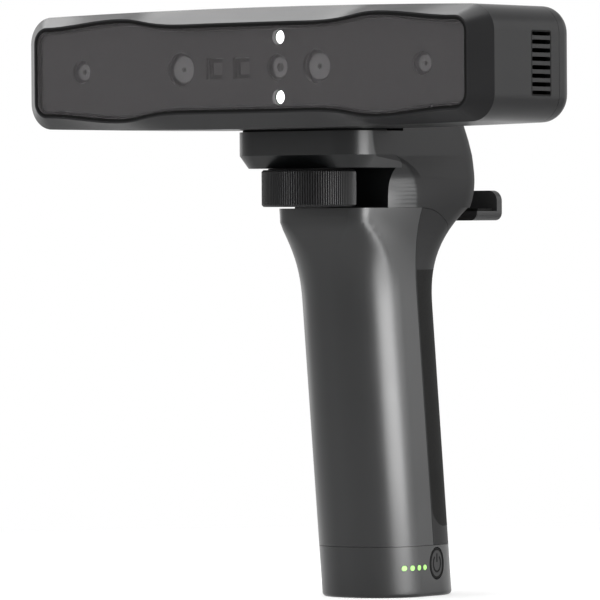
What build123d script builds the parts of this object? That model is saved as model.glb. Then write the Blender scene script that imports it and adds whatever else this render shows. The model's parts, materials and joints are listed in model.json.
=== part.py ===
from build123d import *
import os
from math import radians, tan

os.makedirs("parts", exist_ok=True)

# Hand-held three-d scanner: a wide scanning head held on a battery grip by a clamping wheel,
# with a phone clamp behind the head.
# Millimetres. +Z is up, the head's window faces -Y, and +X is to the right of someone who
# looks at the window. The origin is the middle of the grip's foot, on the surface it stands on.

# Fits, used everywhere
seam = 0.15
run_gap = 0.4
shaft_gap = 0.05
seat_gap = 0.3
overrun = 1.0
small_break = 0.5

# Grip
grip_width = 42.0
grip_depth = 50.0
grip_corner = 19.0
grip_wall = 2.4
grip_rake = 5.85
base_height = 19.0
grip_top = 145.0
split_behind = 3.0
flare_start = 108.0

# Saddle on top of the grip
saddle_width = 60.0
saddle_corner = 12.0
stud_forward = 46.5
plate_reach = 11.0
plate_thickness = 13.5
plate_chamfer_height = 4.7
plate_chamfer_inset = 3.3
slot_height = 14.8
slot_depth = 19.5
neck_front_width = 43.0
rear_overhang = 16.0
riser_height = 13.0
lip_forward = 4.3
lip_width = 39.0
lip_corner = 7.0

# Scanning head
head_width = 215.0
head_depth = 55.0
head_end_height = 42.0
head_crown = 1.2
head_corner = 10.0
head_wall = 2.2
head_rear_round = 6.0
head_setback = 10.0
head_pad_gap = 0.7
rim_depth = 6.5
rear_cover_depth = 9.0

# Window in the front of the head
window_margin = 7.0
window_waist = 33.2
window_peak = 38.6
window_end = 33.8
window_corner = 6.0
window_thickness = 1.5
window_ledge = 1.8
seal_width = 0.6

# Vents in the head's ends
vent_slots = 8
vent_pitch = 3.05
vent_gap = 1.6
vent_length = 11.5
vent_behind = 7.5

# Cameras, projectors and lights behind the window
outer_camera_margin = 28.5
inner_camera_x = 31.5
colour_camera_x = 13.4
projector_xs = (-15.8, -3.2)
light_x = 14.0
light_z = 10.9
outer_barrel = 6.1
inner_barrel = 10.0
colour_barrel = 7.3
aperture = 2.0
colour_aperture = 3.2
well_margin = 1.2
barrel_recess = 3.6
camera_base = 13.0
camera_base_depth = 4.0
projector_size = 7.4
projector_glass = 4.5
light_size = 4.9
light_depth = 1.2
lens_depth = 1.0
mask_thickness = 1.5
mask_gap = 0.2
bench_recess = 14.0
bench_thickness = 3.0
bench_margin = 9.5

# Electronics in the head
board_thickness = 1.6
board_margin = 32.5
board_height = 30.0
board_inset = 26.0
sink_margin = 4.0
sink_height = 26.0
sink_base = 2.0
fin_height = 5.5
fin_thickness = 1.2
fin_count = 9
fan_size = 25.0
fan_depth = 7.0
fan_margin = 7.0
fan_hub = 10.0
fan_shaft = 2.0
fan_blades = 7
blade_thickness = 1.0
boss_size = 7.0
screw_size = 2.5
screw_head = 4.6
screw_head_height = 1.8
screw_length = 10.0
cover_screw_margin = 9.0
cover_screw_z = 11.0

# Buttons and socket on the head's rear
scan_button_size = 13.0
small_button_size = 8.0
small_button_offset = 17.0
button_stand = 0.8
button_flange = 1.0
button_travel = 0.6
switch_height = 1.6
switch_size = 4.0
status_size = 2.0
status_above = 11.0
socket_width = 9.0
socket_height = 3.3
socket_depth = 7.5
socket_wall = 0.4
socket_x = -40.0
tongue_thickness = 0.7
cover_side_wall = 3.6
post_width = 10.0
post_base = 3.0
post_length = 22.0
corner_screw_margin = 12.0
corner_screw_z = 11.5
button_board_width = 60.0
button_board_height = 14.0

# Threaded stud, insert and wheel that hold the head
stud_size = 6.35
stud_engagement = 7.0
insert_size = 9.0
insert_length = 9.0
insert_boss = 15.0
wheel_size = 35.0
wheel_height = 13.6
wheel_rim_break = 1.2
wheel_grooves = 72
groove_depth = 0.45
saddle_pad_inset = 1.2
washer_size = 30.0
washer_thickness = 0.5

# Grip's inner pieces, its button and its lights
cell_margin = 2.7
cell_length = 65.0
cell_gap = 0.6
cradle_wall = 1.2
pad_start = 26.0
pad_end = 122.0
pad_depth = 1.4
pad_round = 8.0
pad_border = 0.6
cavity_end = 128.0
seam_fall = 30.4
power_button_size = 11.4
power_button_width = 8.4
power_button_height = 12.2
power_button_behind = 4.3
power_button_travel = 0.8
charge_light_size = 2.0
charge_light_height = 11.0
charge_light_count = 4
charge_light_pitch = 3.5
charge_light_last = 3.2
charge_board_margin = 13.6
charge_board_height = 12.0
floor_thickness = 2.6
foot_break = 1.5
tripod_depth = 9.0
tripod_bush_size = 10.0
tripod_boss = 15.0
charging_socket_height = 10.0
base_screw_margin = 12.0
grip_screw_heights = (104.0, 121.0)
saddle_screw_spread = 26.0
saddle_screw_forward = 7.0
saddle_screw_bite = 5.0
saddle_hollow_width = 42.0

# Phone clamp behind the head
hinge_behind = 66.5
hinge_rise = 6.5
hinge_knuckle = 9.0
hinge_pin_size = 3.0
knuckle_width = 11.0
ear_width = 3.2
bracket_foot_width = 24.0
bracket_foot_depth = 11.0
bracket_foot_height = 3.0
clamp_plate_gap = 7.0
clamp_plate_thickness = 3.0
clamp_plate_width = 26.0
phone_slot = 9.8
jaw_width = 46.0
jaw_shelf = 3.5
jaw_lip = 3.2
lower_lip_height = 11.3
upper_lip_height = 11.0
jaw_corner = 4.0
jaw_rise = -0.8
jaw_opening = 60.3
rod_size = 2.8
rod_spread = 24.5
rod_length = 39.0
guide_width = 5.5
guide_height = 28.0
pad_sheet = 1.0
pad_margin = 2.0
inner_board_x = 13.0
post_size = 6.0
cradle_foot = 3.0
cradle_height = 76.0

# Worked out once
rake_slope = tan(radians(grip_rake))
charge_board_width = grip_depth - 2 * charge_board_margin
base_screw_spread = grip_depth - 2 * base_screw_margin
cell_size = (grip_depth - cell_gap) / 2 - grip_wall - cradle_wall - cell_margin
wheel_y = -stud_forward
plate_bottom = grip_top + slot_height
plate_top = plate_bottom + plate_thickness
head_y = wheel_y - head_setback
head_front = head_y - head_depth / 2
head_rear = head_y + head_depth / 2
head_half_height = head_end_height / 2 + head_crown
head_z = plate_top + head_pad_gap + head_half_height
rim_rear = head_front + rim_depth
window_width = head_width - 2 * window_margin
outer_camera_x = head_width / 2 - outer_camera_margin
bench_width = head_width - 2 * bench_margin
corner_screw_x = head_width / 2 - corner_screw_margin
board_width = head_width - 2 * board_margin
cover_screw_x = board_width / 2 - cover_screw_margin
fan_x = cover_screw_x - fan_margin - fan_size / 2
sink_width = 2 * (fan_x - fan_size / 2 - sink_margin)
cover_front = head_rear - rear_cover_depth
vent_y = head_y + vent_behind
bench_front = head_front + bench_recess
bench_rear = bench_front + bench_thickness
bench_height = head_end_height - 2 * head_wall - 2 * seat_gap
barrel_front = head_front + barrel_recess
mask_front = head_front + window_thickness + mask_gap
cover_inside = head_rear - head_wall
board_rear = cover_inside - board_inset
button_board_rear = cover_inside - 2 * seam - button_flange - button_travel - switch_height
head_floor = head_z - head_half_height
post_top = (head_end_height - head_wall) / 2
post_low = corner_screw_z - post_base


def grip_middle(height):
    """Y of the raked grip's centre line at a height."""
    return -height * rake_slope


def facing_front(y, x=0.0, z=0.0):
    """Plane square to Y: sketch x is X, sketch y is Z, and extrusions go forward, to -Y."""
    return Plane(origin=(x, y, z), x_dir=(1, 0, 0), z_dir=(0, -1, 0))


def facing_right(x, y=0.0, z=0.0):
    """Plane square to X: sketch x is Y, sketch y is Z, and extrusions go to +X."""
    return Plane(origin=(x, y, z), x_dir=(0, 1, 0), z_dir=(1, 0, 0))


def save(piece, name):
    """Label a finished piece and write its STEP file."""
    piece.part.label = name
    export_step(piece.part, f"parts/{name}.step")


def head_outline(inset=0.0):
    """Front view of the head: a rounded rectangle with crowned top and bottom edges."""
    half = head_width / 2 - inset
    end = head_end_height / 2 - inset
    corner = head_corner - inset
    run = half - corner
    with BuildSketch() as outline:
        with BuildLine():
            ThreePointArc((-run, end), (0, end + head_crown), (run, end))
            RadiusArc((run, end), (half, end - corner), corner)
            Line((half, end - corner), (half, corner - end))
            RadiusArc((half, corner - end), (run, -end), corner)
            ThreePointArc((run, -end), (0, -end - head_crown), (-run, -end))
            RadiusArc((-run, -end), (-half, corner - end), corner)
            Line((-half, corner - end), (-half, end - corner))
            RadiusArc((-half, end - corner), (-run, end), corner)
        make_face()
    return outline.sketch


# Top edge of the window from the middle to the corner: share of the half width, and share of
# the way from the waist's height to the peak's height
window_edge_shares = [
    (0.0, 0.0),
    (0.22, 0.0),
    (0.38, 0.08),
    (0.46, 0.42),
    (0.54, 0.9),
    (0.61, 1.0),
    (0.76, 0.6),
]


def window_outline(inset=0.0):
    """Front view of the window: a long rounded rectangle that swells over each camera pair."""
    half = window_width / 2 - inset
    end = window_end / 2 - inset
    corner = window_corner - inset
    run = half - corner
    waist = window_waist / 2 - inset
    swell = (window_peak - window_waist) / 2
    side = [(share * half, waist + rise * swell) for share, rise in window_edge_shares[1:]]
    middle = (window_edge_shares[0][0] * half, waist)
    top = [(-run, end)] + [(-x, z) for x, z in reversed(side)] + [middle] + side + [(run, end)]
    bottom = [(-x, -z) for x, z in top]
    with BuildSketch() as outline:
        with BuildLine():
            Spline(top)
            RadiusArc((run, end), (half, end - corner), corner)
            Line((half, end - corner), (half, corner - end))
            RadiusArc((half, corner - end), (run, -end), corner)
            Spline(bottom)
            RadiusArc((-run, -end), (-half, corner - end), corner)
            Line((-half, corner - end), (-half, end - corner))
            RadiusArc((-half, end - corner), (-run, end), corner)
        make_face()
    return outline.sketch


# Head, front frame: a bevelled rim that the window is let into
with BuildPart() as head_front_frame:
    with BuildSketch(facing_front(rim_rear, z=head_z)):
        add(head_outline())
    with BuildSketch(facing_front(head_front, z=head_z)):
        add(window_outline())
    loft(ruled=True)
    with BuildSketch(facing_front(head_front, z=head_z)):
        add(window_outline(seal_width))
    extrude(amount=-window_thickness, mode=Mode.SUBTRACT)
    with BuildSketch(facing_front(head_front, z=head_z)):
        add(window_outline(seal_width + window_ledge))
    extrude(amount=-rim_depth, mode=Mode.SUBTRACT)
save(head_front_frame, "head_front_frame")

# Seal: a thin black ring between the rim and the window
with BuildPart() as window_seal:
    with BuildSketch(facing_front(head_front, z=head_z)):
        add(window_outline(seal_width))
        add(window_outline(2 * seal_width), mode=Mode.SUBTRACT)
    extrude(amount=-window_thickness)
save(window_seal, "window_seal")

# Window: one dark tinted sheet in front of all the sensors
with BuildPart() as front_window:
    with BuildSketch(facing_front(head_front, z=head_z)):
        add(window_outline(2 * seal_width))
    extrude(amount=-window_thickness)
save(front_window, "front_window")

# Sensors by name: X from the head's middle, Z from its middle line, barrel, aperture
cameras = {
    "left_outer_camera": (-outer_camera_x, outer_barrel, aperture),
    "left_inner_camera": (-inner_camera_x, inner_barrel, aperture),
    "colour_camera": (colour_camera_x, colour_barrel, colour_aperture),
    "right_inner_camera": (inner_camera_x, inner_barrel, aperture),
    "right_outer_camera": (outer_camera_x, outer_barrel, aperture),
}
projectors = {
    "left_projector": projector_xs[0],
    "right_projector": projector_xs[1],
}

# Sensor mask: a black sheet close behind the window with a well for each sensor
with BuildPart() as sensor_mask:
    with BuildSketch(facing_front(mask_front, z=head_z)):
        add(window_outline(seal_width + window_ledge + seat_gap))
        for x, barrel, hole in cameras.values():
            with Locations((x, 0)):
                Circle(barrel / 2 + well_margin, mode=Mode.SUBTRACT)
        for x in projectors.values():
            with Locations((x, 0)):
                Rectangle(projector_size + seat_gap, projector_size + seat_gap, mode=Mode.SUBTRACT)
        with Locations((light_x, light_z), (light_x, -light_z)):
            Circle(light_size / 2 + seat_gap, mode=Mode.SUBTRACT)
    extrude(amount=-mask_thickness)
save(sensor_mask, "sensor_mask")

# Cameras: a square base on the bench and a barrel with a small aperture
for name, (x, barrel, hole) in cameras.items():
    with BuildPart() as camera:
        with BuildSketch(facing_front(bench_front, x, head_z)):
            Rectangle(camera_base, camera_base)
        extrude(amount=camera_base_depth)
        with BuildSketch(facing_front(bench_front, x, head_z)):
            Circle(barrel / 2)
        extrude(amount=bench_front - barrel_front)
        chamfer(camera.edges().filter_by(GeomType.CIRCLE).sort_by(Axis.Y)[0], small_break / 2)
        with BuildSketch(facing_front(barrel_front, x, head_z)):
            Circle(hole / 2)
        extrude(amount=-2 * lens_depth, mode=Mode.SUBTRACT)
    save(camera, name)

# Glasses: a small lens at the bottom of each camera's aperture and a square one per projector
with BuildPart() as sensor_glasses:
    for x, barrel, hole in cameras.values():
        with BuildSketch(facing_front(barrel_front + 2 * lens_depth, x, head_z)):
            Circle(hole / 2)
        extrude(amount=lens_depth)
    for x in projectors.values():
        with BuildSketch(facing_front(barrel_front + lens_depth, x, head_z)):
            Rectangle(projector_glass, projector_glass)
        extrude(amount=lens_depth / 2)
save(sensor_glasses, "sensor_glasses")

# Projectors: square housings with a square glass let in
for name, x in projectors.items():
    with BuildPart() as projector:
        with BuildSketch(facing_front(bench_front, x, head_z)):
            Rectangle(projector_size, projector_size)
        extrude(amount=bench_front - barrel_front)
        with BuildSketch(facing_front(barrel_front, x, head_z)):
            Rectangle(projector_glass, projector_glass)
        extrude(amount=-lens_depth, mode=Mode.SUBTRACT)
    save(projector, name)

# Fill lights: two round emitters on a narrow board that stands on the bench
with BuildPart() as light_board:
    with BuildSketch(facing_front(bench_front, light_x, head_z)):
        with Locations((0, light_z), (0, -light_z)):
            Rectangle(light_size + 2 * board_thickness, light_size + 2 * seat_gap)
    extrude(amount=bench_front - barrel_front - light_depth)
save(light_board, "light_board")

with BuildPart() as fill_lights:
    with BuildSketch(facing_front(barrel_front + light_depth, light_x, head_z)):
        with Locations((0, light_z), (0, -light_z)):
            Circle(light_size / 2)
    extrude(amount=light_depth)
save(fill_lights, "fill_lights")

# Optics bench: the stiff plate that all sensors stand on
with BuildPart() as optics_bench:
    with BuildSketch(facing_front(bench_front, z=head_z)):
        RectangleRounded(bench_width, bench_height, head_corner - head_wall)
        with GridLocations(bench_width - 2 * head_corner, bench_height - head_corner, 2, 2):
            Circle(screw_size / 2, mode=Mode.SUBTRACT)
    extrude(amount=-bench_thickness)
save(optics_bench, "optics_bench")

# Heat sink: a base on the bench's back with upright fins
with BuildPart() as heat_sink:
    with BuildSketch(facing_front(bench_rear, z=head_z)):
        Rectangle(sink_width, sink_height)
    extrude(amount=-sink_base)
    with BuildSketch(facing_front(bench_rear + sink_base, z=head_z)):
        with GridLocations((sink_width - fin_thickness) / (fin_count - 1), 0, fin_count, 1):
            Rectangle(fin_thickness, sink_height)
    extrude(amount=-fin_height)
save(heat_sink, "heat_sink")

# Main board, screwed to the rear cover's bosses
with BuildPart() as main_board:
    with BuildSketch(facing_front(board_rear, z=head_z)):
        Rectangle(board_width, board_height)
        with GridLocations(2 * cover_screw_x, 2 * cover_screw_z, 2, 2):
            Circle(screw_size / 2 + seam, mode=Mode.SUBTRACT)
    extrude(amount=board_thickness)
save(main_board, "main_board")

# Cooling fan: a square frame with a bore, standing on the bench, and its rotor
with BuildPart() as fan_frame:
    with BuildSketch(facing_front(bench_rear, fan_x, head_z)):
        RectangleRounded(fan_size, fan_size, small_break * 4)
        Circle(fan_size / 2 - fan_shaft, mode=Mode.SUBTRACT)
    extrude(amount=-fan_depth)
    with BuildSketch(facing_front(bench_rear, fan_x, head_z)):
        Rectangle(fan_size - fan_shaft, fan_shaft)
        Circle(fan_hub / 2)
    extrude(amount=-fan_shaft / 2)
    with BuildSketch(facing_front(bench_rear, fan_x, head_z)):
        Circle(fan_shaft / 2)
    extrude(amount=-fan_depth + run_gap)
save(fan_frame, "fan_frame")

with BuildPart() as fan_rotor:
    with BuildSketch(facing_front(bench_rear + fan_shaft / 2 + run_gap, fan_x, head_z)):
        with PolarLocations(0, fan_blades):
            with Locations((fan_size / 4, 0)):
                Rectangle(fan_size / 2 - 2 * fan_shaft - 2 * run_gap, blade_thickness)
        Circle(fan_hub / 2)
        Circle(fan_shaft / 2 + shaft_gap, mode=Mode.SUBTRACT)
    extrude(amount=-(fan_depth - fan_shaft / 2 - 2 * run_gap))
save(fan_rotor, "fan_rotor")

# Head, body shell: a tube between the rim and the rear cover, with vents in both ends
with BuildPart() as head_body_shell:
    with BuildSketch(facing_front(rim_rear, z=head_z)):
        add(head_outline())
        add(head_outline(head_wall), mode=Mode.SUBTRACT)
    extrude(amount=rim_rear - cover_front)
    with BuildSketch(facing_right(-head_width / 2 - overrun, vent_y, head_z)):
        with GridLocations(0, vent_pitch, 1, vent_slots):
            SlotOverall(vent_length, vent_gap)
    extrude(amount=head_width + 2 * overrun, mode=Mode.SUBTRACT)
    with BuildSketch(facing_front(cover_front, z=head_z)):
        with GridLocations(2 * corner_screw_x, post_top + post_low, 2, 2):
            Rectangle(post_width, post_top - post_low)
    extrude(amount=post_length)
    with BuildSketch(Plane.XY.offset(head_floor + head_wall / 2)):
        with Locations((0, wheel_y)):
            Circle(insert_boss / 2)
    extrude(amount=insert_length + head_wall / 2)
    with BuildSketch(Plane.XY.offset(head_floor - overrun)):
        with Locations((0, wheel_y)):
            Circle(insert_size / 2)
    extrude(amount=insert_length + overrun, mode=Mode.SUBTRACT)
    with BuildSketch(facing_front(cover_front, z=head_z)):
        with GridLocations(2 * corner_screw_x, 2 * corner_screw_z, 2, 2):
            Circle(screw_size / 2)
    extrude(amount=screw_length, mode=Mode.SUBTRACT)
save(head_body_shell, "head_body_shell")

# Threaded insert in the head's underside
with BuildPart() as head_insert:
    with BuildSketch(Plane.XY.offset(head_floor)):
        with Locations((0, wheel_y)):
            Circle(insert_size / 2)
            Circle(stud_size / 2 + shaft_gap, mode=Mode.SUBTRACT)
    extrude(amount=insert_length)
save(head_insert, "head_insert")

# Rear buttons: X from the middle and cap size
rear_buttons = {
    "minus_button": (-small_button_offset, small_button_size),
    "scan_button": (0.0, scan_button_size),
    "plus_button": (small_button_offset, small_button_size),
}

# Head, rear cover: a rounded dish with the button holes, the socket's slot and four long bosses
with BuildPart() as head_rear_cover:
    with BuildSketch(facing_front(cover_front + seam, z=head_z)):
        add(head_outline())
    extrude(amount=seam - rear_cover_depth)
    fillet(faces().sort_by(Axis.Y)[-1].edges(), head_rear_round)
    with BuildSketch(facing_front(cover_front, z=head_z)):
        add(head_outline(cover_side_wall))
    extrude(amount=head_wall - rear_cover_depth, mode=Mode.SUBTRACT)
    with BuildSketch(facing_front(cover_inside, z=head_z)):
        with GridLocations(2 * cover_screw_x, 2 * cover_screw_z, 2, 2):
            Circle(boss_size / 2)
    extrude(amount=board_inset)
    with BuildSketch(facing_front(cover_inside, z=head_z)):
        with GridLocations(2 * corner_screw_x, 2 * corner_screw_z, 2, 2):
            Circle(boss_size / 2)
    extrude(amount=cover_inside - cover_front - seam)
    with BuildSketch(facing_front(board_rear, z=head_z)):
        with GridLocations(2 * cover_screw_x, 2 * cover_screw_z, 2, 2):
            Circle(screw_size / 2)
    extrude(amount=-screw_length, mode=Mode.SUBTRACT)
    with BuildSketch(facing_front(cover_inside, z=head_z)):
        with GridLocations(button_board_width - boss_size, 0, 2, 1):
            Circle(boss_size / 2)
    extrude(amount=cover_inside - button_board_rear)
    with BuildSketch(facing_front(head_rear, z=head_z)):
        for x, size in rear_buttons.values():
            with Locations((x, 0)):
                Circle(size / 2 + run_gap)
        with Locations((0, status_above)):
            Circle(status_size / 2 + seam)
        with Locations((socket_x, 0)):
            SlotOverall(socket_width + 2 * seam, socket_height + 2 * seam)
        with GridLocations(2 * corner_screw_x, 2 * corner_screw_z, 2, 2):
            Circle(screw_size / 2)
    extrude(amount=rear_cover_depth, mode=Mode.SUBTRACT)
    with BuildSketch(facing_front(head_rear, z=head_z)):
        with GridLocations(2 * corner_screw_x, 2 * corner_screw_z, 2, 2):
            Circle(screw_head / 2 + seam)
    extrude(amount=screw_head_height + seam, mode=Mode.SUBTRACT)
save(head_rear_cover, "head_rear_cover")

with BuildPart() as rear_cover_screws:
    with BuildSketch(facing_front(head_rear - seam, z=head_z)):
        with GridLocations(2 * corner_screw_x, 2 * corner_screw_z, 2, 2):
            Circle(screw_head / 2)
    extrude(amount=screw_head_height)
    with BuildSketch(facing_front(head_rear - seam, z=head_z)):
        with GridLocations(2 * corner_screw_x, 2 * corner_screw_z, 2, 2):
            Circle(screw_size / 2)
    extrude(amount=rear_cover_depth + screw_length - seam)
save(rear_cover_screws, "rear_cover_screws")

# Screws that hold the main board on the rear cover's bosses
with BuildPart() as board_screws:
    with BuildSketch(facing_front(board_rear - board_thickness, z=head_z)):
        with GridLocations(2 * cover_screw_x, 2 * cover_screw_z, 2, 2):
            Circle(screw_head / 2)
    extrude(amount=screw_head_height)
    with BuildSketch(facing_front(board_rear - board_thickness, z=head_z)):
        with GridLocations(2 * cover_screw_x, 2 * cover_screw_z, 2, 2):
            Circle(screw_size / 2)
    extrude(amount=-(screw_length - board_thickness))
save(board_screws, "board_screws")

# Buttons: a cap that stands out of the cover and a flange that keeps it in
for name, (x, size) in rear_buttons.items():
    with BuildPart() as button:
        with BuildSketch(facing_front(cover_inside - seam, x, head_z)):
            Circle(size / 2)
        extrude(amount=-(head_wall + seam + button_stand))
        fillet(button.edges().filter_by(GeomType.CIRCLE).sort_by(Axis.Y)[-1], small_break)
        with BuildSketch(facing_front(cover_inside - seam, x, head_z)):
            Circle(size / 2 + 2 * run_gap)
        extrude(amount=button_flange)
    save(button, name)

# Button board with one switch behind each button
with BuildPart() as button_board:
    with BuildSketch(facing_front(button_board_rear, z=head_z)):
        Rectangle(button_board_width, button_board_height)
    extrude(amount=board_thickness)
    with BuildSketch(facing_front(button_board_rear, z=head_z)):
        for x, size in rear_buttons.values():
            with Locations((x, 0)):
                Rectangle(switch_size, switch_size)
    extrude(amount=-switch_height)
save(button_board, "button_board")

# Status light: a clear pipe through the cover over the scan button
with BuildPart() as status_light:
    with BuildSketch(facing_front(head_rear, z=head_z)):
        with Locations((0, status_above)):
            Circle(status_size / 2)
    extrude(amount=head_rear - cover_inside + status_size)
save(status_light, "status_light")


def make_socket(base):
    """Data or charging socket: a slot-shaped metal shell with a tongue, its mouth on the plane."""
    with BuildPart() as socket:
        with BuildSketch(base):
            SlotOverall(socket_width, socket_height)
        extrude(amount=socket_depth)
        with BuildSketch(base):
            SlotOverall(socket_width - 2 * socket_wall, socket_height - 2 * socket_wall)
        extrude(amount=socket_depth - socket_wall, mode=Mode.SUBTRACT)
        with BuildSketch(base.offset(small_break)):
            Rectangle(socket_width - socket_height, tongue_thickness)
        extrude(amount=socket_depth - small_break)
    return socket


data_socket = make_socket(facing_front(head_rear, socket_x, head_z))
save(data_socket, "data_socket")

# The flare's width, rear and front grow with powers of the height share; the front face stops
# growing at the lip's lower edge. These are shares of the way from the grip to the saddle.
flare_steps = 14
flare_width_share = 0.74
flare_width_power = 2.9
flare_rear_power = 2.3
lip_edge_share = 0.84
lip_power = 3.0

# The neck beside the slot fills out to the saddle's width, and its front edge sweeps forward
# under the plate, in slot heights above the seam
column_steps = 13
riser_steps = 4
column_full_share = 0.9
column_crease_share = 0.8
sweep_power = 4.0
neck_corner_share = 0.85
rear_peak_share = 0.5
rear_fall_share = 0.14

def between(start, end, share):
    """The value at a share of the way from start to end."""
    return start + share * (end - start)


def body_section(height, front_half, front, front_corner, crease_half, crease, half, rear, rear_corner):
    """Closed outline at a height: a front face, a crease on each side and a rounded rear."""
    right = [(front_half, front), (crease_half, crease), (half, rear)]
    left = [(-x, y) for x, y in reversed(right)]
    with BuildSketch(Plane.XY.offset(height)) as section:
        with BuildLine():
            Polyline(right + left, close=True)
        make_face()
        fillet(section.vertices().group_by(Axis.Y)[0], front_corner)
        fillet(section.vertices().group_by(Axis.Y)[-1], rear_corner)
    return section.sketch


def grip_section(height, inset=0.0):
    """Outline of the straight part of the raked grip at a height."""
    with BuildSketch(Plane.XY.offset(height)) as section:
        with Locations((0, grip_middle(height))):
            RectangleRounded(grip_width - 2 * inset, grip_depth - 2 * inset, grip_corner - inset)
    return section.sketch


def raked_block(bottom, top, inset=0.0):
    """Straight part of the raked grip between two heights, as a private solid."""
    with BuildPart() as block:
        add(grip_section(bottom, inset))
        add(grip_section(top, inset))
        loft(ruled=True)
    return block.part


def side_region(points):
    """A solid as wide as anything here, from an outline in side view (Y, Z)."""
    with BuildPart() as region:
        with BuildSketch(facing_right(-saddle_width)):
            with BuildLine():
                Polyline(points, close=True)
            make_face()
        extrude(amount=2 * saddle_width)
    return region.part


grip_half = grip_width / 2
saddle_half = saddle_width / 2
lip_y = wheel_y + lip_forward
slot_back = wheel_y + slot_depth
plate_front = wheel_y - plate_reach
crease_start = grip_middle(grip_top) + split_behind
riser_front = head_rear + head_pad_gap
riser_top = plate_top + riser_height
hollow_front = slot_back + saddle_screw_forward + screw_head
hollow_rear = grip_middle(grip_top) + grip_depth / 2
wheel_top = plate_bottom - seam - washer_thickness
wheel_bottom = wheel_top - wheel_height
neck_rear_corner = between(grip_corner, saddle_corner, neck_corner_share)



def neck_rear_share(rise_share):
    """Rear overhang of the neck as a share, at a number of slot heights above the seam."""
    return 1 - rear_fall_share * (rise_share - rear_peak_share) ** 2


# Flare of the grip up to the saddle's seam
with BuildPart() as flare:
    for step in range(flare_steps + 1):
        rise = step / flare_steps
        lip = min(rise / lip_edge_share, 1) ** lip_power
        width_share = flare_width_share * rise ** flare_width_power
        height = between(flare_start, grip_top, rise)
        middle = grip_middle(height)
        half = between(grip_half, saddle_half, width_share)
        add(body_section(
            height,
            between(grip_half, lip_width / 2, lip),
            between(middle - grip_depth / 2, lip_y, lip),
            between(grip_corner, lip_corner, lip),
            between(grip_half, half, column_crease_share),
            middle + split_behind,
            half,
            middle + grip_depth / 2 + neck_rear_share(0) * rise ** flare_rear_power * rear_overhang,
            between(grip_corner, neck_rear_corner, width_share),
        ))
    loft(ruled=True)

# Neck behind the wheel's slot, up to the riser's top
sweep_end = 1 + plate_chamfer_height / slot_height
riser_end = (riser_top - grip_top) / slot_height
column_rises = [step / column_steps * sweep_end for step in range(column_steps + 1)]
column_rises += [between(sweep_end, riser_end, (step + 1) / riser_steps) for step in range(riser_steps)]
with BuildPart() as column:
    for rise in column_rises:
        filled = 1 - (1 - min(rise / column_full_share, 1)) ** 2
        width_share = between(flare_width_share, 1, filled)
        sweep = min(rise / sweep_end, 1) ** sweep_power
        height = grip_top + rise * slot_height
        middle = grip_middle(height)
        half = between(grip_half, saddle_half, width_share)
        add(body_section(
            height,
            between(neck_front_width / 2, saddle_half - saddle_corner / 2, sweep),
            between(slot_back - overrun, plate_front + saddle_corner, sweep),
            small_break,
            between(between(grip_half, half, column_crease_share), half, sweep),
            between(middle + split_behind, plate_front + 2 * saddle_corner, sweep),
            half,
            middle + grip_depth / 2 + neck_rear_share(rise) * rear_overhang,
            between(neck_rear_corner, saddle_corner, filled),
        ))
    loft(ruled=True)

# Outer skin of the whole grip, from the base to the seam
with BuildPart() as grip_skin:
    add(raked_block(base_height + seam, flare_start))
    add(flare.part)


def seam_region(gap):
    """Side-view region above the saddle's seam, which falls in a quarter circle at the rear."""
    radius = seam_fall - gap
    far = crease_start + 2 * seam_fall
    with BuildPart() as region:
        with BuildSketch(facing_right(-saddle_width)):
            with BuildLine():
                CenterArc((crease_start, grip_top - seam_fall), radius, 0, 90)
                Polyline(
                    (crease_start, grip_top - gap),
                    (crease_start, grip_top + plate_thickness),
                    (far, grip_top + plate_thickness),
                    (far, grip_top - seam_fall),
                    (crease_start + radius, grip_top - seam_fall),
                )
            make_face()
        extrude(amount=2 * saddle_width)
    return region.part


def split_region(offset, behind):
    """Side-view region in front of the grip's raked split, or behind it, moved by an offset."""
    reach = saddle_width + grip_depth
    far = reach if behind else -reach
    low = split_behind + offset
    high = grip_middle(grip_top + overrun) + split_behind + offset
    return side_region([(low, 0), (high, grip_top + overrun), (far, grip_top + overrun), (far, 0)])


foot_rear = grip_middle(riser_top) + grip_depth / 2 + neck_rear_share(riser_end) * rear_overhang - small_break

# Saddle housing: the plate that the head rests on, the neck behind the wheel's slot, and a
# riser behind the head
with BuildPart() as plate:
    for height, inset in (
        (plate_bottom, plate_chamfer_inset),
        (plate_bottom + plate_chamfer_height, 0.0),
        (plate_top, 0.0),
    ):
        half = saddle_half - inset
        add(body_section(
            height,
            half,
            plate_front + inset,
            saddle_corner - inset,
            half,
            slot_back,
            half,
            grip_middle(plate_top),
            saddle_corner - inset,
        ))
    loft(ruled=True)

with BuildPart() as seam_wedge:
    add(flare.part)
    add(seam_region(0.0), mode=Mode.INTERSECT)

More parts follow.
